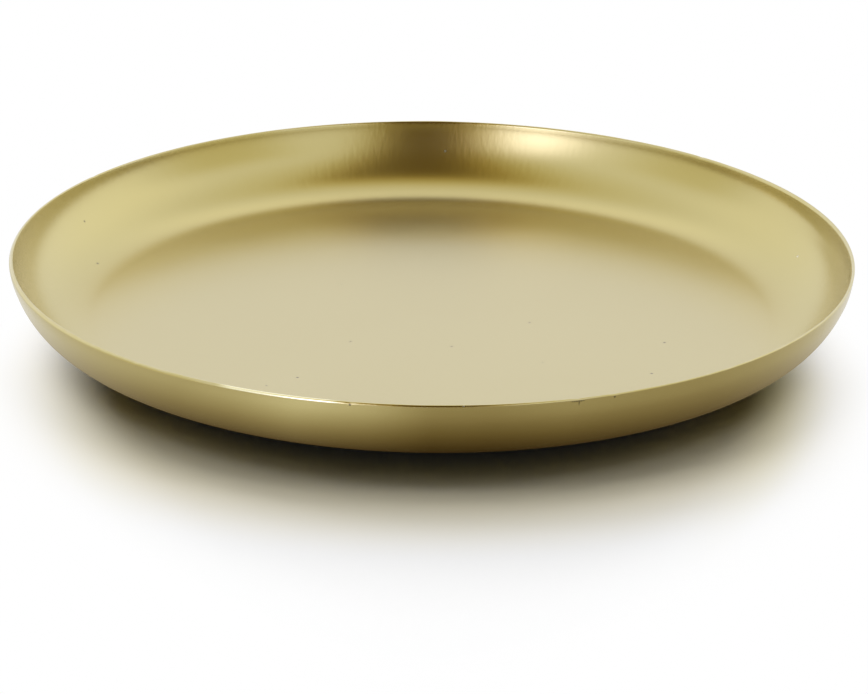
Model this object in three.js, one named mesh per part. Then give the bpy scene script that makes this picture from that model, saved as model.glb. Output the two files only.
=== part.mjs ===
// A candle plate: a shallow round dish of thin metal sheet, on felt pads.
// Sizes are in millimetres and +Z is up. The origin is at the middle of the plate, at the level
// that the pads stand on.

import * as THREE from 'three';

// Plate
const rimDiameter = 220;    // over the lip, the widest place
const plateHeight = 19;     // from the underside to the top of the lip
const sheetThickness = 1;
const coveRadius = 21;      // of the outer curve that turns the floor into the wall

// Felt pads
const padCount = 4;
const padDiameter = 16;
const padThickness = 1.5;
const padInset = 10;        // from the edge of the flat floor to the edge of a pad

// Fineness of the round forms, in steps
const plateSides = 96;
const coveSteps = 12;
const lipSteps = 6;
const padSides = 32;

const quarterTurn = Math.PI / 2;
const fullTurn = Math.PI * 2;

// Points of the section that lie closer together than this share of the sheet are one point.
const weldShare = 0.001;

const goldMetal = new THREE.MeshStandardMaterial({
  name: 'gold_metal',
  color: new THREE.Color().setRGB(0.66, 0.54, 0.27, THREE.LinearSRGBColorSpace),
  roughness: 0.3,
  metalness: 1,
});
const felt = new THREE.MeshStandardMaterial({
  name: 'felt',
  color: new THREE.Color().setRGB(0.045, 0.04, 0.036, THREE.LinearSRGBColorSpace),
  roughness: 0.95,
  metalness: 0,
});

// The wall's form. The lip is rounded over the whole thickness of the sheet, and its centre lies
// on the sheet's middle surface. The cove turns as far as it takes for the lip to reach the
// plate's height, at most until the wall stands upright, and any height left is straight wall.
const lipRadius = sheetThickness / 2;
const middleRadius = coveRadius - lipRadius;
const lipCentreHeight = plateHeight - lipRadius;
const coveTurn = Math.acos(Math.max(0, (coveRadius - lipCentreHeight) / middleRadius));
const floorRadius = rimDiameter / 2 - lipRadius - middleRadius * Math.sin(coveTurn);

// A round stretch of the section, from one direction to another, seen from its centre.
function arc(centre, radius, from, to, steps) {
  const clockwise = to < from;
  return new THREE.EllipseCurve(centre.x, centre.y, radius, radius, from, to, clockwise).getPoints(steps);
}

// The section runs from the axis along the underside, up the outside of the wall, over the lip,
// and down the inside to the axis again. Its x is the distance from the axis, its y the height.
function plateSection() {
  const down = -quarterTurn;
  const coveEnd = down + coveTurn;
  const coveCentre = new THREE.Vector2(floorRadius, coveRadius);
  const lipCentre = new THREE.Vector2(floorRadius + middleRadius * Math.sin(coveTurn), lipCentreHeight);
  const points = [
    new THREE.Vector2(0, 0),
    ...arc(coveCentre, coveRadius, down, coveEnd, coveSteps),
    ...arc(lipCentre, lipRadius, coveEnd, coveEnd + fullTurn / 2, lipSteps),
    ...arc(coveCentre, coveRadius - sheetThickness, coveEnd, down, coveSteps),
    new THREE.Vector2(0, sheetThickness),
  ];
  const weld = sheetThickness * weldShare;
  return points.filter((point, i) => i === 0 || point.distanceTo(points[i - 1]) > weld);
}

// The plate, standing on top of the pads
function makePlate() {
  const geometry = new THREE.LatheGeometry(plateSection(), plateSides);
  geometry.rotateX(quarterTurn);
  const plate = new THREE.Mesh(geometry, goldMetal);
  plate.name = 'plate';
  plate.position.z = padThickness;
  return plate;
}

// One round pad, punched from felt sheet and stuck under the flat floor
function makePad(index) {
  const geometry = new THREE.CylinderGeometry(padDiameter / 2, padDiameter / 2, padThickness, padSides);
  geometry.rotateX(quarterTurn);
  const pad = new THREE.Mesh(geometry, felt);
  pad.name = `felt_pad_${index + 1}`;
  const direction = (index + 1 / 2) * fullTurn / padCount;
  const distance = floorRadius - padInset - padDiameter / 2;
  pad.position.set(distance * Math.cos(direction), distance * Math.sin(direction), padThickness / 2);
  return pad;
}

const candlePlate = new THREE.Group();
candlePlate.add(makePlate());
for (let index = 0; index < padCount; index += 1) {
  candlePlate.add(makePad(index));
}

export default candlePlate;
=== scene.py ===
"""Builds a shallow gold-coloured candle plate on felt pads, and the pale studio that it stands in.

Lengths are in metres, +Z is up, and the plate's axis is the Z axis. The pads stand on the level
z = 0, and the camera looks along +Y.
"""

import math

import bpy
import numpy as np
from bpy.props import FloatProperty, FloatVectorProperty, IntProperty, PointerProperty
from mathutils import Matrix, Vector


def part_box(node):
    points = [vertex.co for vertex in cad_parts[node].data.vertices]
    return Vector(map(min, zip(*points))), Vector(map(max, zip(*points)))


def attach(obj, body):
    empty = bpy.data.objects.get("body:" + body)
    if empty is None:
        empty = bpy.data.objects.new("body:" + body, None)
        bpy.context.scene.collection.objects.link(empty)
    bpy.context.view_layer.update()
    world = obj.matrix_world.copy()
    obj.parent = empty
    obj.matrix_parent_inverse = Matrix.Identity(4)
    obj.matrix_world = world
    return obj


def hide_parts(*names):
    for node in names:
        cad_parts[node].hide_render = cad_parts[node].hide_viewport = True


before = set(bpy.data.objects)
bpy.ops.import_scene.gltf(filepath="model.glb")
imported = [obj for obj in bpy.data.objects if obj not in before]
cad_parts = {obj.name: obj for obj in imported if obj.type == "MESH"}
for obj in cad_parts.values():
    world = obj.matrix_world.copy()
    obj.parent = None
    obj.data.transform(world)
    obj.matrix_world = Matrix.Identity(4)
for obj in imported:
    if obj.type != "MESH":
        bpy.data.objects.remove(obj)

bl_info = {
    "name": "Candle Plate",
    "version": (1, 0, 0),
    "blender": (4, 5, 0),
    "location": "3D View > Sidebar > Candle Plate",
    "description": "Makes a gold-coloured metal candle plate on felt pads, with its studio",
    "category": "Add Mesh",
}

PHOTO_WIDTH = 868
SENSOR_WIDTH = 36.0
QUARTER_TURN = math.pi / 2
HALF_TURN = math.pi
FULL_TURN = math.pi * 2
FULL_CIRCLE = 360.0

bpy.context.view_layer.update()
PLATE_LOW, PLATE_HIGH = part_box("plate")
PAD_NODES = ("felt_pad_1", "felt_pad_2", "felt_pad_3", "felt_pad_4")
PAD_LOW, PAD_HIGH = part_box(PAD_NODES[0])

# Pairs that end in RAMP say where a smooth step starts and where it ends, and a WINDOW has two edges
# and the softness of each. Each NOISE is a scale, a detail and a roughness. Directions are in degrees
# from the camera's side to the right.

# The plate's form

# Steps along the section
FLOOR_STEPS = 10
COVE_STEPS = 30
LIP_STEPS = 10

# The foot of the cove lies further in at the back: by how much, the share of the cove's radius over
# which that dies out upwards, and where it starts and is full round the plate, as the sine of the
# angle from the X axis
FOOT_SHIFT = 0.001
FOOT_RISE = 0.6
FOOT_START = 0.2
FOOT_FULL = 0.9

# The part of the wall that moves with the lip, in sheet thicknesses below the top: the depths down
# to which it moves fully, and moves at all
LIP_FULL_DEPTH = 2.0
LIP_END_DEPTH = 7.0

# Waves in the trimmed lip: how many of each go round the rim, half the drop of each in micrometres,
# and the seed of their phases
WAVE_COUNTS = (3, 5, 11, 17, 29, 43, 71, 97, 131)
WAVE_HEIGHTS = (10, 8, 5, 4, 4, 3, 2, 2, 2)
WAVE_SEED = 7
MICROMETRE = 1e-6

# How far the lip's middle goes down at the plate's left and right, as a share of the lip's radius
LIP_LEAN = 0.6

# Nicks in the trimmed lip: direction, half width and depth
NICKS = (
    (-10.0, 0.0007, 0.00010),
    (18.8, 0.0012, 0.00012),
    (23.6, 0.0008, 0.00010),
    (-41.0, 0.0009, 0.00008),
    (64.0, 0.0010, 0.00010),
    (137.0, 0.0008, 0.00009),
    (-122.0, 0.0011, 0.00010),
)

# The gold finish

# Draw marks: a noise in units of a millimetre round the rim and of 2.5 millimetres up the wall, the
# distance from the axis over which it sets in, and its depth
MARKS_ROUND = 1000.0
MARKS_UP = 400.0
MARKS_NOISE = (0.8, 3.0, 0.55)
MARKS_RAMP = (0.092, 0.104)
MARKS_DEPTH = 0.00002

# Fine grain
GRAIN_NOISE = (2600.0, 2.0, 0.6)
GRAIN_DEPTH = 0.0000012

# Soft clouds: their noise, the shares of the roughness between which they go, and their tint
CLOUD_NOISE = (18.0, 3.0, 0.5)
CLOUD_ROUGH_RAMP = (0.3, 0.7)
CLOUD_ROUGH_LOW = 0.93
CLOUD_ROUGH_HIGH = 1.07
CLOUD_COLOUR_RAMP = (0.35, 0.65)
CLOUD_TINT = (0.98, 0.975, 0.95)

# The floor's tone, a painted sheen paler and bluer than the wall's, and the distance from the axis over
# which it goes over into the wall's
FLOOR_SHEEN_COLOUR = (0.56, 0.483, 0.245, 1.0)
FLOOR_RAMP = (0.086, 0.1)

# A painted reflection of the far wall: the deeper crescent at the floor's back, by the distance from a
# middle that lies towards the camera
CRESCENT_REFLECTION_COLOUR = (0.585, 0.486, 0.19, 1.0)
CRESCENT_REFLECTION_MIDDLE = -0.04
CRESCENT_REFLECTION_RAMP = (0.076, 0.122)

# A painted highlight, the soft paler spot behind the floor's middle: its middle's place along Y, half
# width, half depth, and the ramp outwards in shares of those two
HIGHLIGHT_PATCH_COLOUR = (0.62, 0.508, 0.175, 1.0)
PATCH_MIDDLE = 0.071
PATCH_WIDTH = 0.03
PATCH_DEPTH = 0.015
PATCH_RAMP = (0.2, 1.3)

# The lip: where its finish starts and where it is full, in sheet thicknesses below the top, how much
# smoother it is, its worn colour, and the noise and the two weights of that wear
LIP_START = 0.8
LIP_FULL = 0.4
LIP_SMOOTHER = 0.3
WORN_COLOUR = (0.66, 0.6, 0.46, 1.0)
WORN_NOISE = (140.0, 3.0, 0.6)
WORN_RAMP = (0.35, 0.65)
WORN_LEAST = 0.05
WORN_MOST = 0.25

# A painted glint on the lip: the stretch that is painted brightest, and its colour
GLINT_WINDOW = (-27.0, -12.0, 1.5, 1.5)
GLINT_COLOUR = (0.93, 0.88, 0.6, 1.0)

# A spot is full within the first share of its radius, and gone outside the second
SPOT_CORE = 0.6
SPOT_EDGE = 1.6

# Painted glints, pale specks on the wall's inside and on the lip: place and radius
GLINT_SPECK_COLOUR = (0.75, 0.7, 0.5, 1.0)
GLINT_SPECKS = (
    ((0.0034, 0.1064, 0.0125), 0.0003),
    ((0.00787, -0.1097, 0.0203), 0.00022),
    ((0.0984, 0.0317, 0.0084), 0.0003),
)

# Specks of dust under the finish, on the inside of the dish: their colour and its weight, which the
# scratches share, the smallest radius, the step between their sizes, their number, and the places
DARK_COLOUR = (0.1, 0.075, 0.04, 1.0)
DARK_WEIGHT = 0.8
SPECK_RADIUS = 0.00022
SPECK_STEP = 0.00005
SPECK_SIZES = 3
SPECKS = (
    (-0.0241, 0.0220, 0.0025),
    (-0.0208, -0.0208, 0.0025),
    (-0.0336, -0.0467, 0.0025),
    (-0.0412, -0.0525, 0.0025),
    (0.0257, -0.0054, 0.0025),
    (0.0603, -0.0190, 0.0025),
    (0.0285, -0.0343, 0.0025),
    (0.0053, -0.0236, 0.0025),
    (0.0560, -0.0412, 0.0025),
    (-0.0648, 0.0772, 0.0062),
    (-0.0947, 0.0465, 0.0110),
    (-0.0902, 0.0330, 0.0037),
)

# Dark scratches on the outside just under the lip: direction, height above the table and radius
SCRATCHES = (
    (17.9, 0.0197, 0.00016),
    (18.2, 0.0197, 0.00018),
    (18.5, 0.0197, 0.0002),
    (18.8, 0.0197, 0.00022),
    (19.1, 0.0197, 0.0002),
    (19.4, 0.0197, 0.00016),
    (18.8, 0.0192, 0.0002),
    (18.8, 0.0187, 0.00018),
    (18.8, 0.0182, 0.00014),
    (23.6, 0.0196, 0.00024),
    (-10.0, 0.0198, 0.00026),
)

# The pads

# Radius of the soft lower edge as a share of the thickness, how far the film stands back from the
# side in film thicknesses, and steps along the section
PAD_SOFT_EDGE = 0.28
PAD_FILM_INSET = 2.0
PAD_FOOT_STEPS = 40
PAD_EDGE_STEPS = 8
PAD_SIDE_STEPS = 8
PAD_LEDGE_STEPS = 2
PAD_FILM_STEPS = 6

# Lumps of the felt: their height on the foot, how many times as high they are on the side, the
# number of waves, the shortest and longest of them, and their contrast. They die out towards the
# film over a share of the thickness, and go over from the foot to the side past a share of the
# radius.
LUMP_HEIGHT = 0.00009
LUMP_SIDE = 2.0
LUMP_WAVES = 28
LUMP_SHORTEST = 0.0006
LUMP_LONGEST = 0.003
LUMP_CONTRAST = 1.8
LUMP_FADE = 0.3
LUMP_RIM = 0.85

# The felt: noise and weight of its fibres and tufts, the ramp between its dark and its light tone,
# these tones as shares of its colour, and its roughness, sheen and relief
FIBRE_NOISE = (5200.0, 3.0, 0.65)
FIBRE_WEIGHT = 0.65
TUFT_NOISE = (900.0, 2.0, 0.5)
TUFT_WEIGHT = 0.35
FELT_RAMP = (0.35, 0.68)
FELT_DARK = 0.55
FELT_LIGHT = 1.8
FELT_ROUGHNESS = 0.95
FELT_SHEEN = 0.25
FELT_SHEEN_ROUGHNESS = 0.6
FELT_DEPTH = 0.00008

# The adhesive film: colour, roughness, and how softly it starts as a share of its thickness
FILM_COLOUR = (0.32, 0.31, 0.29, 1.0)
FILM_ROUGHNESS = 0.4
FILM_SOFT = 0.2

# The surround that the metal mirrors

# Heights are sines of the elevation. A screen has its two edges, the softness of both, the heights
# between which it fades, and what it adds to the level. They are the left back screen, the right
# back screen, the left shade and the right shade.
SURROUND_LEVEL = 1.02
SCREENS = (
    (-155.0, -100.0, 25.0, 15.0, 0.5, 0.95, 0.121),
    (88.0, 150.0, 15.0, 25.0, 0.5, 0.95, 0.188),
    (-98.0, -62.0, 12.0, 12.0, 0.4, 0.8, -0.322),
    (45.0, 82.0, 8.0, 15.0, 0.4, 0.8, -0.37),
)

# The lighter top of the back: what it adds, the directions to both sides over which it sets in, and
# its heights
BACK_TOP_GAIN = 0.308
BACK_TOP_RAMP = (125.0, 165.0)
BACK_TOP_WINDOW = (0.7, 0.95, 0.15, 0.05)

# Everything is dimmer towards the zenith
TOP_DIMMING = 0.3145
TOP_RAMP = (0.7, 1.0)

# The dark gap, in sines of the angle across and along the camera's direction
GAP_LEFT = -0.102
GAP_RIGHT = 0.201
GAP_LEFT_SOFT = 0.33
GAP_RIGHT_SOFT = 0.2
GAP_END = -0.02
GAP_END_SOFT = 0.33

# What the metal shows in the dark gap, and the powers of red, green and blue that make dimmer parts
# of the surround warmer
GAP_COLOUR = (0.1, 0.055, 0.0)
WARM_POWERS = (0.455, 0.6, 1.45)

# The lamp beside the gap: level, directions, heights over which it fades, and colour
GAP_LAMP_LEVEL = 3.735
GAP_LAMP_WINDOW = (-32.8, -25.0, 17.3, 15.7)
GAP_LAMP_RAMP = (0.266, 0.929)
GAP_LAMP_COLOUR = (1.0, 0.978, 1.613)

# Soft lamps for the table's light and shadow: their distance and width, and the name, azimuth and
# elevation in degrees, and brightness of each
LAMP_DISTANCE = 1.6
LAMP_SIZE = 1.0
LAMPS = (
    ("low_back_lamp", 180.0, 12.0, 7.9),
    ("back_lamp", 180.0, 22.0, 4.9),
    ("left_back_lamp", -150.0, 25.0, 6.7),
    ("right_back_lamp", 150.0, 25.0, 2.8),
    ("high_left_back_lamp", -150.0, 45.0, 3.0),
    ("high_right_back_lamp", 150.0, 45.0, 3.1),
    ("left_top_lamp", -115.0, 60.0, 2.5),
    ("right_top_lamp", 115.0, 60.0, 1.8),
    ("left_front_lamp", -75.0, 60.0, 0.65),
    ("right_front_lamp", 75.0, 60.0, 0.45),
)

# The table

TABLE_HALF_WIDTH = 3.0

# The shaded oval: half width, half depth, its middle's place along Y, the power that gives its
# outline, the shares of it over which the table goes over into the backdrop, and the share of the
# backdrop's white that is left inside it
SHADE_WIDTH = 0.1
SHADE_DEPTH = 0.166
SHADE_MIDDLE = -0.04
SHADE_POWER = 1.6
SHADE_RAMP = (0.79, 1.17)
STRAY_LIGHT = 0.004

# Where the table goes over into white, a painted warm glow of the gold's light lies beside the plate:
# its tint, the distances to both sides over which that sets in, its strength on the left, as a share
# of that on the right, and the shares of the oval over which it ends
SIDE_TINT = (0.85, 0.76, 0.35)
SIDE_RAMP = (0.055, 0.09)
SIDE_LEFT = 0.35
SIDE_END_RAMP = (0.8, 1.04)

# Near the plate the table is warmer, as the gold's own light makes it. This ramp and the next go by
# the distance from a middle on the Y axis.
WARM_TINT = (1.0, 0.93, 0.72)
WARM_MIDDLE = -0.013
WARM_RAMP = (0.105, 0.143)

# A painted contact shadow: under the plate and right in front of its edge the table's colour is darker
PAINTED_CONTACT_SHADOW = (0.54, 0.56, 0.55)
CONTACT_MIDDLE = -0.03
CONTACT_RAMP = (0.055, 0.086)

# The table as the metal shows it: levels round the plate, each with its direction, and the dark
# place under the plate, whose middle lies a little towards the camera. The powers make dimmer parts
# warmer.
TABLE_LEVELS = (
    (-180, 0.98),
    (-90, 0.9),
    (-60, 0.76),
    (-50, 0.73),
    (-40, 0.69),
    (-30, 0.78),
    (-20, 0.98),
    (-9, 0.78),
    (0, 0.48),
    (9, 0.46),
    (20, 0.54),
    (30, 0.52),
    (45, 0.5),
    (60, 0.59),
    (90, 0.87),
    (180, 0.98),
)
DARK_MIDDLE = -0.015
DARK_RAMP = (0.074, 0.118)
DARK_LEVEL = 0.05
TABLE_POWERS = (1.0, 1.17, 1.6)


# Settings

class PlateSettings(bpy.types.PropertyGroup):
    """Sizes and finish of the metal plate."""

    rim_diameter: FloatProperty(
        name="Rim Diameter",
        description="Width over the lip, the widest place",
        default=PLATE_HIGH.x - PLATE_LOW.x,
        min=0.05,
        subtype="DISTANCE",
        unit="LENGTH",
    )
    height: FloatProperty(
        name="Height",
        description="From the underside of the sheet to the top of the lip",
        default=PLATE_HIGH.z - PLATE_LOW.z,
        min=0.005,
        subtype="DISTANCE",
        unit="LENGTH",
    )
    stand: FloatProperty(
        name="Stand",
        description="Height of the underside of the sheet above the table",
        default=PLATE_LOW.z,
        min=0.0,
        subtype="DISTANCE",
        unit="LENGTH",
    )
    sheet: FloatProperty(
        name="Sheet",
        description="Thickness of the metal sheet",
        default=0.001,
        min=0.0002,
        subtype="DISTANCE",
        unit="LENGTH",
    )
    cove_radius: FloatProperty(
        name="Cove Radius",
        description="Radius of the outer curve that turns the floor into the wall",
        default=0.021,
        min=0.002,
        subtype="DISTANCE",
        unit="LENGTH",
    )
    colour: FloatVectorProperty(
        name="Colour",
        description="Colour of the satin gold finish, seen straight on",
        default=(0.56, 0.483, 0.208),
        min=0.0,
        max=1.0,
        size=3,
        subtype="COLOR",
    )
    roughness: FloatProperty(
        name="Roughness",
        description="How far the satin finish blurs a reflection",
        default=0.25,
        min=0.0,
        max=1.0,
        subtype="FACTOR",
    )
    lacquer: FloatProperty(
        name="Lacquer",
        description="Weight of the clear lacquer over the gold",
        default=0.7,
        min=0.0,
        max=1.0,
        subtype="FACTOR",
    )
    sides: IntProperty(
        name="Sides",
        description="Steps round the plate",
        default=960,
        min=24,
    )


class PadSettings(bpy.types.PropertyGroup):
    """Sizes and colour of the felt pads."""

    diameter: FloatProperty(
        name="Diameter",
        description="Width of a pad",
        default=PAD_HIGH.x - PAD_LOW.x,
        min=0.002,
        subtype="DISTANCE",
        unit="LENGTH",
    )
    thickness: FloatProperty(
        name="Thickness",
        description="Height of a pad with its adhesive film",
        default=PAD_HIGH.z - PAD_LOW.z,
        min=0.0003,
        subtype="DISTANCE",
        unit="LENGTH",
    )
    film: FloatProperty(
        name="Film",
        description="Thickness of the adhesive film between the felt and the plate",
        default=0.00015,
        min=0.00005,
        subtype="DISTANCE",
        unit="LENGTH",
    )
    colour: FloatVectorProperty(
        name="Colour",
        description="Colour of the felt",
        default=(0.045, 0.04, 0.036),
        min=0.0,
        max=1.0,
        size=3,
        subtype="COLOR",
    )
    sides: IntProperty(
        name="Sides",
        description="Steps round a pad",
        default=192,
        min=12,
    )


class StudioSettings(bpy.types.PropertyGroup):
    """Table, backdrop and camera."""

    table_colour: FloatVectorProperty(
        name="Table Colour",
        description="Colour of the pale table",
        default=(0.86, 0.86, 0.86),
        min=0.0,
        max=1.0,
        size=3,
        subtype="COLOR",
    )
    backdrop: FloatVectorProperty(
        name="Backdrop",
        description="Colour of the white surround",
        default=(1.0, 1.0, 1.0),
        min=0.0,
        max=1.0,
        size=3,
        subtype="COLOR",
    )
    camera_place: FloatVectorProperty(
        name="Camera Place",
        description="Where the camera stands",
        default=(0.0, -1.03618, 0.38923),
        size=3,
        subtype="TRANSLATION",
        unit="LENGTH",
    )
    camera_aim: FloatVectorProperty(
        name="Camera Aim",
        description="The point in the middle of the picture",
        default=(0.000786, 0.0, -0.006706),
        size=3,
        subtype="TRANSLATION",
        unit="LENGTH",
    )
    camera_roll: FloatProperty(
        name="Camera Roll",
        description="Turn of the camera about its own line of sight",
        default=math.radians(0.648),
        subtype="ANGLE",
        unit="ROTATION",
    )
    focal_pixels: FloatProperty(
        name="Focal Length in Pixels",
        description="Focal length in pixels of the photograph's width",
        default=4211.7,
        min=100.0,
    )


class CandlePlateSettings(bpy.types.PropertyGroup):
    """All settings of the candle plate and its studio."""

    plate: PointerProperty(type=PlateSettings)
    pads: PointerProperty(type=PadSettings)
    studio: PointerProperty(type=StudioSettings)


# Surfaces

def smooth(share):
    """A smooth step: three times the square of the share less twice its cube."""
    return share * share * (3.0 - 2.0 * share)


def arc(centre, radius, start, end, steps):
    """Points on a circle. Each is the centre plus the radius times the cosine and sine of an angle
    that goes evenly from start to end."""
    angle = np.linspace(start, end, steps + 1)
    return np.stack((centre[0] + radius * np.cos(angle), centre[1] + radius * np.sin(angle)), axis=1)


def line(start, end, steps):
    """Points on a straight line. Each is start plus an even share of the way to end."""
    share = np.linspace(0.0, 1.0, steps + 1)[:, None]
    return np.asarray(start) * (1.0 - share) + np.asarray(end) * share


def join(*stretches):
    """One profile from stretches whose ends meet. The first point of each later one is left out."""
    return np.concatenate([stretches[0]] + [stretch[1:] for stretch in stretches[1:]])


def turned_grid(profile, sides):
    """Coordinates of a profile turned about the Z axis, as a grid of sides by profile points. At
    the angle a, a profile point (r, z) lies at (r cos a, r sin a, z)."""
    angle = np.arange(sides) * FULL_TURN / sides
    radius = profile[None, :, 0]
    height = np.broadcast_to(profile[None, :, 1], (sides, len(profile)))
    x = radius * np.cos(angle)[:, None]
    y = radius * np.sin(angle)[:, None]
    return np.stack((x, y, height), axis=2), angle


def closed_turned_mesh(name, grid):
    """A mesh from a grid of turned points whose first and last profile points lie on the axis.
    Those two columns become one vertex each, with a fan of triangles round it, and the cells
    between them are quads. The profile starts at the lower end, so that they face outwards."""
    sides, rings = grid.shape[:2]
    inner = grid[:, 1:-1]
    rows = rings - 2
    vertices = np.concatenate((inner.reshape(-1, 3), grid[:1, 0], grid[:1, -1]))
    start_pole = sides * rows
    end_pole = start_pole + 1
    here = np.arange(sides)
    there = (here + 1) % sides
    row = np.arange(rows - 1)
    first = (here[:, None] * rows + row).ravel()
    second = (there[:, None] * rows + row).ravel()
    quads = np.stack((first, second, second + 1, first + 1), axis=1)
    start_fan = np.stack((np.full(sides, start_pole), there * rows, here * rows), axis=1)
    last = rows - 1
    end_fan = np.stack((np.full(sides, end_pole), here * rows + last, there * rows + last), axis=1)
    mesh = bpy.data.meshes.new(name)
    mesh.from_pydata(vertices.tolist(), [], quads.tolist() + start_fan.tolist() + end_fan.tolist())
    mesh.shade_smooth()
    mesh.validate()
    mesh.update()
    return mesh


def add_object(name, mesh, material):
    """Puts a mesh into the scene as an object at the origin, with its material."""
    mesh.materials.append(material)
    piece = bpy.data.objects.new(name, mesh)
    bpy.context.scene.collection.objects.link(piece)
    return piece


def plate_profile(plate):
    """The plate's section from the axis along the underside, up the outside of the wall, over the
    lip and down the inside to the axis. The lip is a half circle over the sheet's thickness, its
    centre on the sheet's middle surface, and the cove turns until the lip reaches the height."""
    lip = plate.sheet / 2
    middle = plate.cove_radius - lip
    rise = plate.height - lip
    turn = math.acos(max(0.0, (plate.cove_radius - rise) / middle))
    lip_middle = plate.rim_diameter / 2 - lip
    floor_edge = lip_middle - middle * math.sin(turn)
    low = plate.stand
    top_of_floor = low + plate.sheet
    centre = (floor_edge, low + plate.cove_radius)
    lip_centre = (lip_middle, low + rise)
    down = -QUARTER_TURN
    cove_end = down + turn
    return join(
        line((0.0, low), (floor_edge, low), FLOOR_STEPS),
        arc(centre, plate.cove_radius, down, cove_end, COVE_STEPS),
        arc(lip_centre, lip, cove_end, cove_end + HALF_TURN, LIP_STEPS),
        arc(centre, plate.cove_radius - plate.sheet, cove_end, down, COVE_STEPS),
        line((floor_edge, top_of_floor), (0.0, top_of_floor), FLOOR_STEPS),
    )


def inner_foot(grid, angle, profile, plate):
    """Moves the foot of the cove inwards at the back, by up to FOOT_SHIFT. The share of it grows
    with the square of the radius over the floor, and fades out smoothly up the cove. Round the plate
    it is a smooth step on both sides of the back."""
    foot = plate.rim_diameter / 2 - plate.cove_radius
    over_floor = np.clip(profile[:, 0] / foot, 0.0, 1.0) ** 2
    up = np.clip((profile[:, 1] - plate.stand) / (plate.cove_radius * FOOT_RISE), 0.0, 1.0)
    share = over_floor * (1.0 - smooth(up))
    back = smooth(np.clip((np.sin(angle) - FOOT_START) / (FOOT_FULL - FOOT_START), 0.0, 1.0))
    radius = np.hypot(grid[:, :, 0], grid[:, :, 1])
    shift = FOOT_SHIFT * back[:, None] * share / np.maximum(radius, plate.sheet)
    grid[:, :, :2] *= (1.0 - shift)[:, :, None]
    return grid


def lip_share(profile, plate):
    """For each profile point, how far it moves with the lip: one near the top of the wall, falling
    smoothly to zero further down."""
    top = plate.stand + plate.height
    depth = (top - profile[:, 1]) / plate.sheet
    return smooth(np.clip((LIP_END_DEPTH - depth) / (LIP_END_DEPTH - LIP_FULL_DEPTH), 0.0, 1.0))


def trimmed_edge(grid, angle, profile, plate):
    """Moves the lip's points down a little, as a trimmed and polished edge has it. The drop is a
    sum of cosine waves round the rim, with seeded phases, and a bell shape at each nick. The lip's
    half circle also tilts. On the right its inner side drops and on the left its outer side, by
    the sine of the direction, so that it doesn't tilt in front and at the back."""
    phases = np.random.default_rng(WAVE_SEED).uniform(0.0, FULL_TURN, len(WAVE_COUNTS))
    heights = np.array(WAVE_HEIGHTS) * MICROMETRE
    waves = (heights * (1.0 + np.cos(np.outer(angle, WAVE_COUNTS) + phases))).sum(axis=1)
    dips = np.zeros_like(angle)
    for place, width, depth in NICKS:
        place_angle = math.radians(place) - QUARTER_TURN
        away = np.angle(np.exp(1j * (angle - place_angle))) * plate.rim_diameter / 2
        dips += depth * np.exp(-((away / width) ** 2))
    lip = plate.sheet / 2
    outward = np.clip((profile[:, 0] - (plate.rim_diameter / 2 - lip)) / lip, -1.0, 1.0)
    sideways = np.sin(angle + QUARTER_TURN)[:, None]
    lean = LIP_LEAN * (sideways * outward - np.abs(sideways))
    grid[:, :, 2] += (lean * lip - (waves + dips)[:, None]) * lip_share(profile, plate)
    return grid


def pad_profile(pads):
    """The pad's section from the axis along its foot, round the soft lower edge, up the punched
    side, and in over the slightly narrower adhesive film to the axis."""
    radius = pads.diameter / 2
    soft = pads.thickness * PAD_SOFT_EDGE
    felt_top = pads.thickness - pads.film
    film_edge = radius - pads.film * PAD_FILM_INSET
    return join(
        line((0.0, 0.0), (radius - soft, 0.0), PAD_FOOT_STEPS),
        arc((radius - soft, soft), soft, -QUARTER_TURN, 0.0, PAD_EDGE_STEPS),
        line((radius, soft), (radius, felt_top), PAD_SIDE_STEPS),
        line((radius, felt_top), (film_edge, felt_top), PAD_LEDGE_STEPS),
        line((film_edge, felt_top), (film_edge, pads.thickness), PAD_LEDGE_STEPS),
        line((film_edge, pads.thickness), (0.0, pads.thickness), PAD_FILM_STEPS),
    )


def fibrous(grid, number, pads):
    """Roughens the felt of a pad. A sum of cosine waves of seeded directions, lengths and phases,
    between zero and one, moves the foot's points up and the side's points inwards. The film stays
    smooth, and the lumps die out towards it."""
    generator = np.random.default_rng(number)
    direction = generator.normal(size=(LUMP_WAVES, 3))
    direction /= np.linalg.norm(direction, axis=1)[:, None]
    length = generator.uniform(LUMP_SHORTEST, LUMP_LONGEST, LUMP_WAVES)
    phase = generator.uniform(0.0, FULL_TURN, LUMP_WAVES)
    wave = np.cos(grid @ (direction / length[:, None]).T * FULL_TURN + phase)
    lump = (wave * length).sum(axis=2) / length.sum()
    lump = np.clip(0.5 + lump * LUMP_CONTRAST, 0.0, 1.0)
    felt_top = pads.thickness - pads.film
    fade = np.clip((felt_top - grid[:, :, 2]) / (pads.thickness * LUMP_FADE), 0.0, 1.0)
    edge = pads.diameter / 2
    radius = np.hypot(grid[:, :, 0], grid[:, :, 1])
    rim = np.clip((radius / edge - LUMP_RIM) / (1.0 - LUMP_RIM), 0.0, 1.0) ** 2
    lump = LUMP_HEIGHT * lump * fade
    grid[:, :, 2] += lump * (1.0 - rim)
    grid[:, :, :2] *= (1.0 - LUMP_SIDE * lump * rim / edge)[:, :, None]
    return grid


# Node helpers

def new_material(name):
    """An empty node material with its output node."""
    material = bpy.data.materials.new(name)
    material.use_nodes = True
    material.node_tree.nodes.clear()
    output = material.node_tree.nodes.new("ShaderNodeOutputMaterial")
    return material, material.node_tree, output


def place_on(tree, kind):
    """A texture coordinate of a kind, and its three parts."""
    place = tree.nodes.new("ShaderNodeTexCoord").outputs[kind]
    split = tree.nodes.new("ShaderNodeSeparateXYZ")
    tree.links.new(place, split.inputs[0])
    return place, split.outputs


def put(tree, value, socket):
    """Links a socket to an input, or sets the input to a plain value."""
    if isinstance(value, bpy.types.NodeSocket):
        tree.links.new(value, socket)
    else:
        socket.default_value = value


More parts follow.
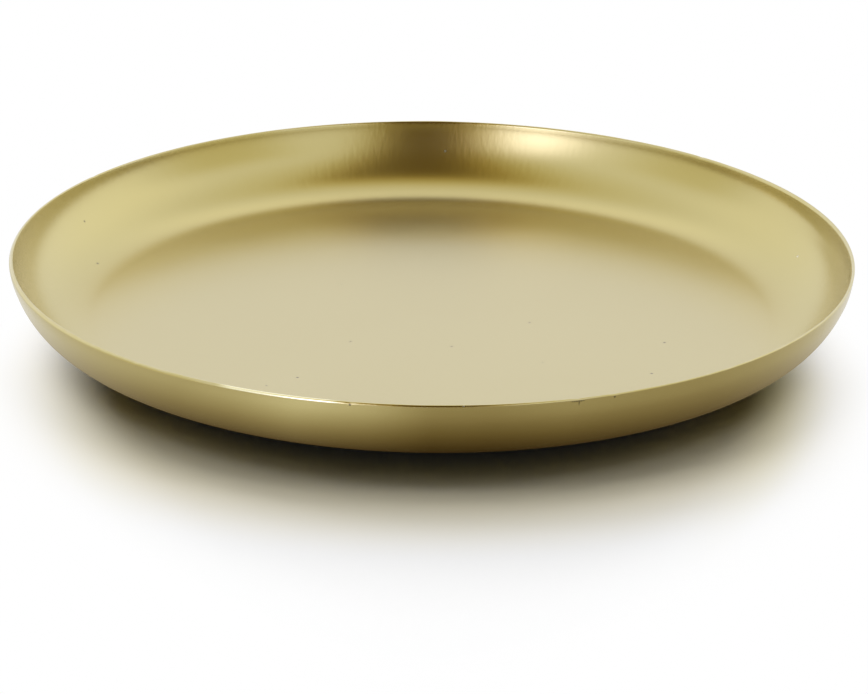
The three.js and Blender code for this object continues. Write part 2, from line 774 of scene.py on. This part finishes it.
def math_node(tree, operation, first, second=0.5):
    """The result of one Math node."""
    node = tree.nodes.new("ShaderNodeMath")
    node.operation = operation
    put(tree, first, node.inputs[0])
    put(tree, second, node.inputs[1])
    return node.outputs[0]


def vector_node(tree, operation, first, second=(0.0, 0.0, 0.0)):
    """One Vector Math node."""
    node = tree.nodes.new("ShaderNodeVectorMath")
    node.operation = operation
    put(tree, first, node.inputs[0])
    put(tree, second, node.inputs[1])
    return node


def combined(tree, x, y, z):
    """A vector of three numbers or sockets."""
    node = tree.nodes.new("ShaderNodeCombineXYZ")
    for value, socket in zip((x, y, z), node.inputs):
        put(tree, value, socket)
    return node.outputs[0]


def sum_of(tree, *values):
    """The sum of several numbers or sockets."""
    total = values[0]
    for value in values[1:]:
        total = math_node(tree, "ADD", total, value)
    return total


def product_of(tree, *values):
    """The product of several numbers or sockets."""
    total = values[0]
    for value in values[1:]:
        total = math_node(tree, "MULTIPLY", total, value)
    return total


def distance_of(tree, across, along):
    """The length of a flat vector: the root of the sum of both squares."""
    both = sum_of(tree, product_of(tree, across, across), product_of(tree, along, along))
    return math_node(tree, "SQRT", both)


def away_from(tree, x, y, middle):
    """The flat distance from a point that lies at middle on the Y axis."""
    return distance_of(tree, x, math_node(tree, "SUBTRACT", y, middle))


def around(tree, x, y):
    """The direction round the plate in degrees, from the camera's side to the right."""
    angle = math_node(tree, "ARCTAN2", x, math_node(tree, "MULTIPLY", y, -1.0))
    return math_node(tree, "MULTIPLY", angle, FULL_CIRCLE / FULL_TURN)


def ramp_up(tree, value, low, high, bottom=0.0, top=1.0):
    """A smooth step from bottom to top while the value goes from low to high."""
    node = tree.nodes.new("ShaderNodeMapRange")
    node.interpolation_type = "SMOOTHSTEP"
    for number, socket in zip((value, low, high, bottom, top), node.inputs):
        put(tree, number, socket)
    return node.outputs["Result"]


def window(tree, value, low, high, low_soft, high_soft):
    """One between low and high, and zero outside, with soft edges centred on both."""
    rise = ramp_up(tree, value, low - low_soft, low + low_soft)
    fall = ramp_up(tree, value, high - high_soft, high + high_soft, 1.0, 0.0)
    return math_node(tree, "MULTIPLY", rise, fall)


def blend(tree, factor, first, second):
    """A number that is the first where the factor is zero and the second where it is one."""
    node = tree.nodes.new("ShaderNodeMix")
    node.data_type = "FLOAT"
    put(tree, factor, node.inputs[0])
    put(tree, first, node.inputs[2])
    put(tree, second, node.inputs[3])
    return node.outputs[0]


def colour_mix(tree, factor, first, second):
    """A colour that is the first where the factor is zero and the second where it is one."""
    node = tree.nodes.new("ShaderNodeMix")
    node.data_type = "RGBA"
    put(tree, factor, node.inputs[0])
    put(tree, first, node.inputs[6])
    put(tree, second, node.inputs[7])
    return node.outputs[2]


def shader_of(tree, kind, inputs):
    """The output of a shader node, with the given inputs."""
    node = tree.nodes.new(kind)
    for name, value in inputs.items():
        put(tree, value, node.inputs[name])
    return node.outputs[0]


def mixed_shader(tree, factor, first, second):
    """A shader that is the first where the factor is zero and the second where it is one."""
    node = tree.nodes.new("ShaderNodeMixShader")
    for value, socket in zip((factor, first, second), node.inputs):
        tree.links.new(value, socket)
    return node.outputs[0]


def tinted(colour, tint):
    """A colour times a tint, as a shader takes it."""
    return (*(value * part for value, part in zip(colour, tint)), 1.0)


def noise(tree, vector, scale, detail, rough):
    """A noise value between zero and one, at a place."""
    node = tree.nodes.new("ShaderNodeTexNoise")
    put(tree, vector, node.inputs["Vector"])
    node.inputs["Scale"].default_value = scale
    node.inputs["Detail"].default_value = detail
    node.inputs["Roughness"].default_value = rough
    return node.outputs["Fac"]


def bump(tree, height, distance, before=None):
    """A Bump node that raises the surface by distance where the height is one."""
    node = tree.nodes.new("ShaderNodeBump")
    node.inputs["Strength"].default_value = 1.0
    node.inputs["Distance"].default_value = distance
    put(tree, height, node.inputs["Height"])
    if before is not None:
        tree.links.new(before, node.inputs["Normal"])
    return node.outputs["Normal"]


def first_gloss(tree, path):
    """One for a reflection that the camera sees in the metal, and zero for light that the metal
    throws on the table."""
    direct = math_node(tree, "LESS_THAN", path.outputs["Diffuse Depth"], 0.5)
    return math_node(tree, "MULTIPLY", path.outputs["Is Glossy Ray"], direct)


# Finishes

def spots(tree, place, marked):
    """One inside small soft round spots, and zero elsewhere. Each spot has a point and a radius."""
    covered = 0.0
    for point, size in marked:
        away = vector_node(tree, "DISTANCE", place, point).outputs["Value"]
        spot = ramp_up(tree, away, size * SPOT_CORE, size * SPOT_EDGE, 1.0, 0.0)
        covered = math_node(tree, "MAXIMUM", covered, spot)
    return covered


def dark_spots(plate):
    """Point and radius of each dust speck and of each spot of the scratches."""
    marked = []
    for number, point in enumerate(SPECKS):
        marked.append((point, SPECK_RADIUS + SPECK_STEP * (number % SPECK_SIZES)))
    edge = plate.rim_diameter / 2
    for degrees, height, size in SCRATCHES:
        turn = math.radians(degrees)
        marked.append(((edge * math.sin(turn), -edge * math.cos(turn), height), size))
    return marked


def draw_marks(tree, x, y, z, plate):
    """Height of the upright draw marks on the wall, between zero and one: a noise over a cylinder
    of the rim's width, drawn out up the wall."""
    unit = vector_node(tree, "NORMALIZE", combined(tree, x, y, 0.0))
    rim = vector_node(tree, "SCALE", unit.outputs[0])
    rim.inputs["Scale"].default_value = plate.rim_diameter / 2 * MARKS_ROUND
    rise = math_node(tree, "MULTIPLY", z, MARKS_UP)
    drawn = vector_node(tree, "ADD", rim.outputs[0], combined(tree, 0.0, 0.0, rise))
    marks = noise(tree, drawn.outputs[0], *MARKS_NOISE)
    wall = ramp_up(tree, distance_of(tree, x, y), *MARKS_RAMP)
    return product_of(tree, marks, wall)


def floor_and_wall(tree, x, y, plate):
    """The metal's colour: the floor with its painted sheen, the painted reflection of the far wall in the
    crescent at its back and the painted highlight behind its middle, and the wall."""
    deep = ramp_up(tree, away_from(tree, x, y, CRESCENT_REFLECTION_MIDDLE), *CRESCENT_REFLECTION_RAMP)
    floor = colour_mix(tree, deep, FLOOR_SHEEN_COLOUR, CRESCENT_REFLECTION_COLOUR)
    beside = math_node(tree, "DIVIDE", x, PATCH_WIDTH)
    behind = math_node(tree, "DIVIDE", math_node(tree, "SUBTRACT", y, PATCH_MIDDLE), PATCH_DEPTH)
    patch = ramp_up(tree, distance_of(tree, beside, behind), *PATCH_RAMP)
    floor = colour_mix(tree, patch, HIGHLIGHT_PATCH_COLOUR, floor)
    wall = ramp_up(tree, distance_of(tree, x, y), *FLOOR_RAMP)
    return colour_mix(tree, wall, floor, (*plate.colour, 1.0))


def gold_finish(plate):
    """Satin gold under a thin clear lacquer. The wall has fine upright draw marks, the whole a fine
    grain, the lip is paler where it was trimmed, with a painted glint along part of it, a few dust
    specks lie inside, and a few pale specks are painted glints. The floor's colour holds a painted
    sheen, a painted reflection and a painted highlight."""
    material, tree, output = new_material("satin_gold")
    place, (x, y, z) = place_on(tree, "Object")
    grain = noise(tree, place, *GRAIN_NOISE)
    normal = bump(tree, draw_marks(tree, x, y, z, plate), MARKS_DEPTH)
    normal = bump(tree, grain, GRAIN_DEPTH, normal)

    # Soft clouds in roughness and colour
    cloud = noise(tree, place, *CLOUD_NOISE)
    rough = ramp_up(tree, cloud, *CLOUD_ROUGH_RAMP, CLOUD_ROUGH_LOW, CLOUD_ROUGH_HIGH)
    rough = product_of(tree, rough, plate.roughness)
    colour = floor_and_wall(tree, x, y, plate)
    shade = vector_node(tree, "MULTIPLY", colour, CLOUD_TINT).outputs[0]
    colour = colour_mix(tree, ramp_up(tree, cloud, *CLOUD_COLOUR_RAMP), shade, colour)

    # Smoother, paler metal along the trimmed lip, and a painted glint along a stretch of it
    top = plate.stand + plate.height
    lip = ramp_up(tree, z, top - plate.sheet * LIP_START, top - plate.sheet * LIP_FULL)
    rough = product_of(tree, rough, math_node(tree, "SUBTRACT", 1.0, product_of(tree, lip, LIP_SMOOTHER)))
    wear = ramp_up(tree, noise(tree, place, *WORN_NOISE), *WORN_RAMP, WORN_LEAST, WORN_MOST)
    colour = colour_mix(tree, product_of(tree, lip, wear), colour, WORN_COLOUR)
    stretch = window(tree, around(tree, x, y), *GLINT_WINDOW)
    colour = colour_mix(tree, product_of(tree, lip, stretch), colour, GLINT_COLOUR)

    # Dust specks and scratches, and pale specks that are painted glints
    dark = product_of(tree, spots(tree, place, dark_spots(plate)), DARK_WEIGHT)
    pale = spots(tree, place, GLINT_SPECKS)
    colour = colour_mix(tree, dark, colour, DARK_COLOUR)
    colour = colour_mix(tree, pale, colour, GLINT_SPECK_COLOUR)

    shader = shader_of(tree, "ShaderNodeBsdfPrincipled", {
        "Base Color": colour,
        "Metallic": math_node(tree, "SUBTRACT", 1.0, pale),
        "Roughness": rough,
        "Normal": normal,
        "Coat Weight": plate.lacquer,
        "Coat Roughness": plate.roughness,
        "Coat Normal": normal,
    })
    tree.links.new(shader, output.inputs[0])
    return material


def felt_finish(pads):
    """Short dark felt of pressed fibres, lighter where they stand up, on a smooth grey film of
    adhesive."""
    material, tree, output = new_material("dark_felt")
    place, parts = place_on(tree, "Object")
    film_level = PAD_LOW.z + pads.thickness - pads.film
    film = ramp_up(tree, parts["Z"], film_level - pads.film * FILM_SOFT, film_level)
    fibres = product_of(tree, noise(tree, place, *FIBRE_NOISE), FIBRE_WEIGHT)
    tufts = product_of(tree, noise(tree, place, *TUFT_NOISE), TUFT_WEIGHT)
    mixed = sum_of(tree, fibres, tufts)
    dark = tinted(pads.colour, (FELT_DARK,) * 3)
    light = tinted(pads.colour, (FELT_LIGHT,) * 3)
    colour = colour_mix(tree, ramp_up(tree, mixed, *FELT_RAMP), dark, light)
    colour = colour_mix(tree, film, colour, FILM_COLOUR)
    shader = shader_of(tree, "ShaderNodeBsdfPrincipled", {
        "Base Color": colour,
        "Roughness": blend(tree, film, FELT_ROUGHNESS, FILM_ROUGHNESS),
        "Normal": bump(tree, mixed, FELT_DEPTH),
        "Sheen Weight": FELT_SHEEN,
        "Sheen Roughness": FELT_SHEEN_ROUGHNESS,
    })
    tree.links.new(shader, output.inputs[0])
    return material


# Studio

def mirrored_table(tree, x, y, studio):
    """The table as the metal shows it. It is dark under the plate and lighter outwards, and dimmer
    parts are warmer, because the gold lights them: each colour is the level raised to its own
    power."""
    turn = sum_of(tree, product_of(tree, around(tree, x, y), 1 / FULL_CIRCLE), 0.5)
    ramp = tree.nodes.new("ShaderNodeValToRGB")
    tree.links.new(turn, ramp.inputs[0])
    elements = ramp.color_ramp.elements
    while len(elements) < len(TABLE_LEVELS):
        elements.new(0.5)
    for element, (degrees, level) in zip(elements, TABLE_LEVELS):
        element.position = degrees / FULL_CIRCLE + 0.5
    for element, (degrees, level) in zip(elements, TABLE_LEVELS):
        element.color = (level, level, level, 1.0)
    outwards = ramp_up(tree, away_from(tree, x, y, DARK_MIDDLE), *DARK_RAMP, DARK_LEVEL, 1.0)
    level = product_of(tree, ramp.outputs[0], outwards)
    colour = tree.nodes.new("ShaderNodeCombineColor")
    for channel in range(3):
        tone = math_node(tree, "POWER", level, TABLE_POWERS[channel])
        tree.links.new(product_of(tree, tone, studio.backdrop[channel]), colour.inputs[channel])
    return colour.outputs[0]


def oval_reach(tree, x, y):
    """How far out a place lies, in shares of the shaded oval: the root of the sum of both powers."""
    across = math_node(tree, "DIVIDE", x, SHADE_WIDTH)
    along = math_node(tree, "DIVIDE", math_node(tree, "SUBTRACT", y, SHADE_MIDDLE), SHADE_DEPTH)
    across = math_node(tree, "POWER", math_node(tree, "ABSOLUTE", across), SHADE_POWER)
    along = math_node(tree, "POWER", math_node(tree, "ABSOLUTE", along), SHADE_POWER)
    return math_node(tree, "POWER", sum_of(tree, across, along), 1.0 / SHADE_POWER)


def table_finish(studio):
    """The pale table. Far from the plate it runs into the white backdrop."""
    material, tree, output = new_material("pale_table")
    x, y = place_on(tree, "Object")[1][:2]
    path = tree.nodes.new("ShaderNodeLightPath")
    geometry = tree.nodes.new("ShaderNodeNewGeometry")

    # The table itself: warmer near the plate, a painted glow of the gold's light, and darker under it and
    #     # right in front of its edge, a painted contact shadow
    plain = (*studio.table_colour, 1.0)
    warm = tinted(studio.table_colour, WARM_TINT)
    deep = tinted(studio.table_colour, PAINTED_CONTACT_SHADOW)
    outwards = ramp_up(tree, away_from(tree, x, y, WARM_MIDDLE), *WARM_RAMP)
    shade = colour_mix(tree, outwards, warm, plain)
    outwards = ramp_up(tree, away_from(tree, x, y, CONTACT_MIDDLE), *CONTACT_RAMP)
    shade = colour_mix(tree, outwards, deep, shade)
    near = shader_of(tree, "ShaderNodeBsdfDiffuse", {"Color": shade})

    # Far from the plate, the camera sees the white of the backdrop, by way of a painted warm glow beside
    # it
    reach = oval_reach(tree, x, y)
    right = ramp_up(tree, x, *SIDE_RAMP)
    left = ramp_up(tree, math_node(tree, "MULTIPLY", x, -1.0), *SIDE_RAMP, 0.0, SIDE_LEFT)
    fading = ramp_up(tree, reach, *SIDE_END_RAMP, 1.0, 0.0)
    beside = product_of(tree, sum_of(tree, right, left), fading)
    backdrop = colour_mix(tree, beside, (*studio.backdrop, 1.0), tinted(studio.backdrop, SIDE_TINT))
    white = shader_of(tree, "ShaderNodeEmission", {"Color": backdrop})
    far = ramp_up(tree, reach, *SHADE_RAMP, STRAY_LIGHT, 1.0)
    far = product_of(tree, far, path.outputs["Is Camera Ray"])
    seen = mixed_shader(tree, far, near, white)

    # What the metal shows of it
    mirrored = shader_of(tree, "ShaderNodeEmission", {"Color": mirrored_table(tree, x, y, studio)})
    front = mixed_shader(tree, first_gloss(tree, path), seen, mirrored)

    # From below, the table is clear, also for light that has come in through it
    clear = shader_of(tree, "ShaderNodeBsdfTransparent", {})
    below = math_node(tree, "ADD", geometry.outputs["Backfacing"], path.outputs["Transparent Depth"])
    below = math_node(tree, "MINIMUM", below, 1.0)
    tree.links.new(mixed_shader(tree, below, front, clear), output.inputs[0])
    return material


def surround_level(tree, x, y, z, degrees):
    """How bright the surround is in a direction, and the share of it that the dark gap leaves.
    Screens stand round the plate. Each is a soft window in the direction round the plate, and
    fades with height."""
    level = SURROUND_LEVEL
    for start, end, start_soft, end_soft, low, high, gain in SCREENS:
        across = window(tree, degrees, start, end, start_soft, end_soft)
        level = sum_of(tree, level, product_of(tree, across, ramp_up(tree, z, low, high, gain, 0.0)))
    aside = math_node(tree, "ABSOLUTE", degrees)
    behind = ramp_up(tree, aside, *BACK_TOP_RAMP, 0.0, BACK_TOP_GAIN)
    level = sum_of(tree, level, product_of(tree, behind, window(tree, z, *BACK_TOP_WINDOW)))
    level = product_of(tree, level, ramp_up(tree, z, *TOP_RAMP, 1.0, 1.0 - TOP_DIMMING))
    left_gap = math_node(tree, "DIVIDE", math_node(tree, "SUBTRACT", GAP_LEFT, x), GAP_LEFT_SOFT)
    right_gap = math_node(tree, "DIVIDE", math_node(tree, "SUBTRACT", x, GAP_RIGHT), GAP_RIGHT_SOFT)
    end_gap = math_node(tree, "DIVIDE", math_node(tree, "SUBTRACT", y, GAP_END), GAP_END_SOFT)
    across_gap = math_node(tree, "MAXIMUM", math_node(tree, "MAXIMUM", left_gap, right_gap), 0.0)
    along_gap = math_node(tree, "MAXIMUM", end_gap, 0.0)
    away = distance_of(tree, across_gap, along_gap)
    return level, ramp_up(tree, away, 0.0, 1.0)


def make_surround(studio):
    """The white surround. Camera rays see it plain white. In the metal it shows the dark gap that
    the camera looks through, the lamp beside it and the screens, and dimmer parts of it are warmer:
    each colour is the level raised to its own power. From below it lights the felt too."""
    world = bpy.data.worlds.new("white_surround")
    bpy.context.scene.world = world
    world.use_nodes = True
    tree = world.node_tree
    tree.nodes.clear()
    x, y, z = place_on(tree, "Generated")[1]
    degrees = around(tree, x, y)
    path = tree.nodes.new("ShaderNodeLightPath")

    level, open_share = surround_level(tree, x, y, z, degrees)
    level = math_node(tree, "MAXIMUM", product_of(tree, level, open_share), 0.0)
    plain = math_node(tree, "MINIMUM", level, 1.0)
    extra = math_node(tree, "SUBTRACT", level, plain)
    beside = window(tree, degrees, *GAP_LAMP_WINDOW)
    lamp = product_of(tree, beside, ramp_up(tree, z, *GAP_LAMP_RAMP, GAP_LAMP_LEVEL, 0.0), open_share)
    closed = math_node(tree, "SUBTRACT", 1.0, open_share)
    mirrored = first_gloss(tree, path)
    plainly = (path.outputs["Is Camera Ray"], path.outputs["Is Transmission Ray"])
    unmirrored = math_node(tree, "MAXIMUM", *plainly)
    downwards = math_node(tree, "LESS_THAN", z, 0.0)
    from_below = math_node(tree, "MULTIPLY", path.outputs["Is Diffuse Ray"], downwards)
    colour = tree.nodes.new("ShaderNodeCombineColor")
    for channel in range(3):
        tone = math_node(tree, "POWER", plain, WARM_POWERS[channel])
        shine = product_of(tree, lamp, GAP_LAMP_COLOUR[channel])
        glow = product_of(tree, closed, GAP_COLOUR[channel])
        seen = blend(tree, mirrored, from_below, sum_of(tree, tone, extra, shine, glow))
        seen = math_node(tree, "MAXIMUM", seen, unmirrored)
        tree.links.new(product_of(tree, seen, studio.backdrop[channel]), colour.inputs[channel])
    background = shader_of(tree, "ShaderNodeBackground", {"Color": colour.outputs[0], "Strength": 1.0})
    tree.links.new(background, tree.nodes.new("ShaderNodeOutputWorld").inputs[0])
    world.cycles.sampling_method = "NONE"


def make_lamp(name, azimuth, elevation, level):
    """A soft round lamp that shines at the plate, with a brightness of level. Azimuth goes from the
    camera's side to the right. The power is pi squared times the radius squared times the level.
    The metal doesn't show it, since the surround holds its reflections."""
    data = bpy.data.lights.new(name, "AREA")
    data.shape = "DISK"
    data.size = LAMP_SIZE
    data.energy = math.pi * math.pi * (LAMP_SIZE / 2) ** 2 * level
    lamp = bpy.data.objects.new(name, data)
    turn = math.radians(azimuth)
    rise = math.radians(elevation)
    away = Vector((math.sin(turn) * math.cos(rise), -math.cos(turn) * math.cos(rise), math.sin(rise)))
    facing = away.to_track_quat("Z", "Y").to_matrix().to_4x4()
    lamp.matrix_world = Matrix.Translation(away * LAMP_DISTANCE) @ facing
    lamp.visible_glossy = False
    lamp.visible_camera = False
    bpy.context.scene.collection.objects.link(lamp)


def make_camera(studio):
    """The camera looks from its place to its aim. Its right is level before the roll."""
    place = Vector(studio.camera_place)
    forward = (Vector(studio.camera_aim) - place).normalized()
    level_right = forward.cross(Vector((0.0, 0.0, 1.0))).normalized()
    level_up = level_right.cross(forward)
    roll = studio.camera_roll
    right = level_right * math.cos(roll) + level_up * math.sin(roll)
    up = level_up * math.cos(roll) - level_right * math.sin(roll)
    data = bpy.data.cameras.new("studio_camera")
    data.sensor_width = SENSOR_WIDTH
    data.lens = studio.focal_pixels * data.sensor_width / PHOTO_WIDTH
    camera = bpy.data.objects.new("studio_camera", data)
    camera.matrix_world = Matrix((
        (right.x, up.x, -forward.x, place.x),
        (right.y, up.y, -forward.y, place.y),
        (right.z, up.z, -forward.z, place.z),
        (0.0, 0.0, 0.0, 1.0),
    ))
    bpy.context.scene.collection.objects.link(camera)
    bpy.context.scene.camera = camera


# Operators

class OBJECT_OT_candle_plate_dish(bpy.types.Operator):
    """Make the metal dish in one sheet, with its floor, cove and rounded lip"""

    bl_idname = "object.candle_plate_dish"
    bl_label = "Metal Dish"

    def execute(self, context):
        plate = context.scene.candle_plate.plate
        profile = plate_profile(plate)
        grid, angle = turned_grid(profile, plate.sides)
        grid = inner_foot(grid, angle, profile, plate)
        grid = trimmed_edge(grid, angle, profile, plate)
        mesh = closed_turned_mesh("dish", grid)
        dish = add_object("dish", mesh, gold_finish(plate))
        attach(dish, "root")
        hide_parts("plate")
        return {"FINISHED"}


class OBJECT_OT_candle_plate_pads(bpy.types.Operator):
    """Make the round felt pads under the dish"""

    bl_idname = "object.candle_plate_pads"
    bl_label = "Felt Pads"

    def execute(self, context):
        pads = context.scene.candle_plate.pads
        felt = felt_finish(pads)
        for number, node in enumerate(PAD_NODES):
            low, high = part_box(node)
            grid, angle = turned_grid(pad_profile(pads), pads.sides)
            middle = np.array(((low.x + high.x) / 2, (low.y + high.y) / 2, low.z))
            grid = fibrous(grid, number, pads) + middle
            name = node.replace("felt_pad", "felt_foot")
            foot = add_object(name, closed_turned_mesh(name, grid), felt)
            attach(foot, "root")
            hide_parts(node)
        return {"FINISHED"}


class SCENE_OT_candle_plate_studio(bpy.types.Operator):
    """Set up the pale table, the white surround, the lamps and the camera"""

    bl_idname = "scene.candle_plate_studio"
    bl_label = "Studio"

    def execute(self, context):
        studio = context.scene.candle_plate.studio
        half = TABLE_HALF_WIDTH
        mesh = bpy.data.meshes.new("table")
        corners = [(-half, -half, 0.0), (half, -half, 0.0), (half, half, 0.0), (-half, half, 0.0)]
        mesh.from_pydata(corners, [], [(0, 1, 2, 3)])
        table = add_object("table", mesh, table_finish(studio))
        make_surround(studio)
        for name, azimuth, elevation, level in LAMPS:
            make_lamp(name, azimuth, elevation, level)
        make_camera(studio)
        context.scene.view_settings.view_transform = "Standard"
        return {"FINISHED"}


# Panel

class VIEW3D_PT_candle_plate(bpy.types.Panel):
    """Buttons and settings of the candle plate"""

    bl_label = "Candle Plate"
    bl_space_type = "VIEW_3D"
    bl_region_type = "UI"
    bl_category = "Candle Plate"

    def draw(self, context):
        settings = context.scene.candle_plate
        groups = (
            (settings.plate, OBJECT_OT_candle_plate_dish.bl_idname),
            (settings.pads, OBJECT_OT_candle_plate_pads.bl_idname),
            (settings.studio, SCENE_OT_candle_plate_studio.bl_idname),
        )
        for group, operator in groups:
            column = self.layout.column()
            for key in group.__annotations__:
                column.prop(group, key)
            column.operator(operator)


# Registration

CLASSES = (
    PlateSettings,
    PadSettings,
    StudioSettings,
    CandlePlateSettings,
    OBJECT_OT_candle_plate_dish,
    OBJECT_OT_candle_plate_pads,
    SCENE_OT_candle_plate_studio,
    VIEW3D_PT_candle_plate,
)


def register():
    """Registers the settings, the operators and the panel."""
    for cls in CLASSES:
        bpy.utils.register_class(cls)
    bpy.types.Scene.candle_plate = PointerProperty(type=CandlePlateSettings)


def unregister():
    """Takes them out again."""
    del bpy.types.Scene.candle_plate
    for cls in reversed(CLASSES):
        bpy.utils.unregister_class(cls)


def main():
    register()
    bpy.ops.object.candle_plate_dish()
    bpy.ops.object.candle_plate_pads()
    bpy.ops.scene.candle_plate_studio()


if __name__ == "__main__":
    main()
